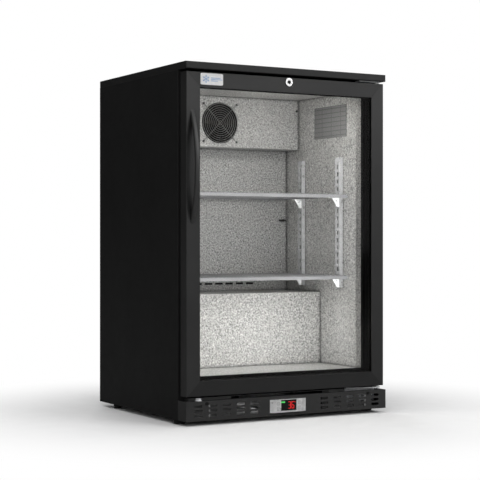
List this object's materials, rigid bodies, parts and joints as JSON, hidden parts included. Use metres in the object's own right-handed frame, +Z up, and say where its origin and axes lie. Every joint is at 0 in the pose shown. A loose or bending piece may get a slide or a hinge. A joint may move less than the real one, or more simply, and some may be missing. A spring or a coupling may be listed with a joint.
{
  "type": "undercounter refrigerator",
  "caption": "Undercounter back-bar refrigerator: black cabinet, hinged framed glass door with bow handle and lock, wire shelves, kick plate with digital control.",
  "frame": {"origin": "on the floor, under the centre of the overall footprint with the handle's bow counted in the depth", "axes": "+X to the right of a person facing the door, +Y from the door to the back, +Z up"},
  "size_m": [0.6, 0.544, 0.9],
  "materials": {
    "coat_black": "semi-matte black powder coat",
    "door_black": "satin black lacquer on extruded profiles",
    "liner": "stucco-embossed sheet",
    "air_panel": "plain rolled sheet",
    "galvanised": "galvanised sheet",
    "zinc": "bright zinc plate",
    "chrome": "polished chrome",
    "foam": "closed-cell insulation",
    "black_plastic": "moulded, matte",
    "black_gloss": "moulded, glossy window",
    "silver_plastic": "silver lacquered plastic",
    "white_plastic": "moulded, glossy",
    "nylon": "natural nylon",
    "led_red": "lit red segments",
    "rubber": "soft black rubber",
    "glass": "clear tempered glass",
    "shelf_wire": "light grey plastic-coated wire",
    "compressor_black": "black enamel",
    "copper": "bare copper tube",
    "fin": "bare fins and tubes",
    "data_plate": "satin plate, left blank"
  },
  "bodies": {
    "cabinet": {"side_panel_left": "coat_black", "side_panel_right": "coat_black", "rear_panel": "galvanised", "foam_insulation": "foam", "inner_liner": "liner", "front_trim": "black_plastic", "top_panel": "coat_black", "base_frame": "galvanised", "compartment_divider": "galvanised", "kick_plate": "coat_black", "controller_body": "black_gloss", "controller_bezel": "silver_plastic", "display_leds": "led_red", "hinge_brackets": "zinc", "zinc_fasteners": "zinc", "black_screws": "coat_black", "data_plate": "data_plate", "evaporator_cover": "air_panel", "rear_duct_panel": "liner", "fan_guard": "coat_black", "evaporator_fan_frame": "black_plastic", "evaporator_coil": "fin", "evaporator_drip_tray": "fin", "led_lamp": "white_plastic", "shelf_pilasters": "zinc", "shelf_clips": "zinc", "temperature_probe": "black_plastic", "compressor": "compressor_black", "compressor_mounts": "rubber", "condenser_coil": "fin", "condenser_fan_shroud": "galvanised", "refrigerant_lines": "copper", "evaporation_tray": "black_plastic", "rear_grille": "coat_black", "power_cord": "rubber"},
    "door": {"door_rail_top": "door_black", "door_rail_bottom": "door_black", "door_stile_left": "door_black", "door_stile_right": "door_black", "glass_panes": "glass", "glass_spacer": "black_plastic", "glazing_bead": "black_plastic", "door_gasket": "rubber", "door_handle": "door_black", "door_badge": "white_plastic", "hinge_bushes": "nylon", "lock_housing": "chrome"},
    "lock": {"lock_plug_and_cam": "chrome"},
    "evaporator_fan": {"evaporator_fan_rotor": "black_plastic"},
    "condenser_fan": {"condenser_fan_rotor": "white_plastic"},
    "upper_shelf": {"upper_shelf": "shelf_wire"},
    "lower_shelf": {"lower_shelf": "shelf_wire"},
    "button_set": {"button_set": "silver_plastic"},
    "button_light": {"button_light": "silver_plastic"},
    "button_up": {"button_up": "silver_plastic"},
    "button_down": {"button_down": "silver_plastic"},
    "foot_front_left": {"foot_front_left": "rubber"},
    "foot_front_right": {"foot_front_right": "rubber"},
    "foot_rear_left": {"foot_rear_left": "rubber"},
    "foot_rear_right": {"foot_rear_right": "rubber"}
  },
  "joints": [
    {"name": "door_hinge", "type": "hinge", "parent": "cabinet", "child": "door", "pos_m": [0.282, -0.23, 0.45], "axis": [0, 0, 1], "range_deg": [0, 110]},
    {"name": "lock_turn", "type": "hinge", "parent": "door", "child": "lock", "pos_m": [0, -0.23, 0.864], "axis": [0, -1, 0], "range_deg": [0, 90]},
    {"name": "evaporator_fan_spin", "type": "hinge", "parent": "cabinet", "child": "evaporator_fan", "pos_m": [0, 0.135, 0.787], "axis": [0, 1, 0], "continuous": true},
    {"name": "condenser_fan_spin", "type": "hinge", "parent": "cabinet", "child": "condenser_fan", "pos_m": [0.165, 0.14, 0.129], "axis": [0, 1, 0], "continuous": true},
    {"name": "upper_shelf_lift", "type": "slide", "parent": "cabinet", "child": "upper_shelf", "axis": [0, 0, 1], "range_m": [0, 0.02]},
    {"name": "lower_shelf_lift", "type": "slide", "parent": "cabinet", "child": "lower_shelf", "axis": [0, 0, 1], "range_m": [0, 0.02]},
    {"name": "button_set_press", "type": "slide", "parent": "cabinet", "child": "button_set", "axis": [0, 1, 0], "range_m": [0, 0.0007], "stiffness_N_per_m": 20},
    {"name": "button_light_press", "type": "slide", "parent": "cabinet", "child": "button_light", "axis": [0, 1, 0], "range_m": [0, 0.0007], "stiffness_N_per_m": 20},
    {"name": "button_up_press", "type": "slide", "parent": "cabinet", "child": "button_up", "axis": [0, 1, 0], "range_m": [0, 0.0007], "stiffness_N_per_m": 20},
    {"name": "button_down_press", "type": "slide", "parent": "cabinet", "child": "button_down", "axis": [0, 1, 0], "range_m": [0, 0.0007], "stiffness_N_per_m": 20},
    {"name": "foot_front_left_screw", "type": "hinge", "parent": "cabinet", "child": "foot_front_left", "pos_m": [-0.283, -0.179, 0.006], "axis": [0, 0, 1], "range_deg": [0, 1440]},
    {"name": "foot_front_right_screw", "type": "hinge", "parent": "cabinet", "child": "foot_front_right", "pos_m": [0.283, -0.179, 0.006], "axis": [0, 0, 1], "range_deg": [0, 1440]},
    {"name": "foot_rear_left_screw", "type": "hinge", "parent": "cabinet", "child": "foot_rear_left", "pos_m": [-0.283, 0.191, 0.006], "axis": [0, 0, 1], "range_deg": [0, 1440]},
    {"name": "foot_rear_right_screw", "type": "hinge", "parent": "cabinet", "child": "foot_rear_right", "pos_m": [0.283, 0.191, 0.006], "axis": [0, 0, 1], "range_deg": [0, 1440]}
  ]
}
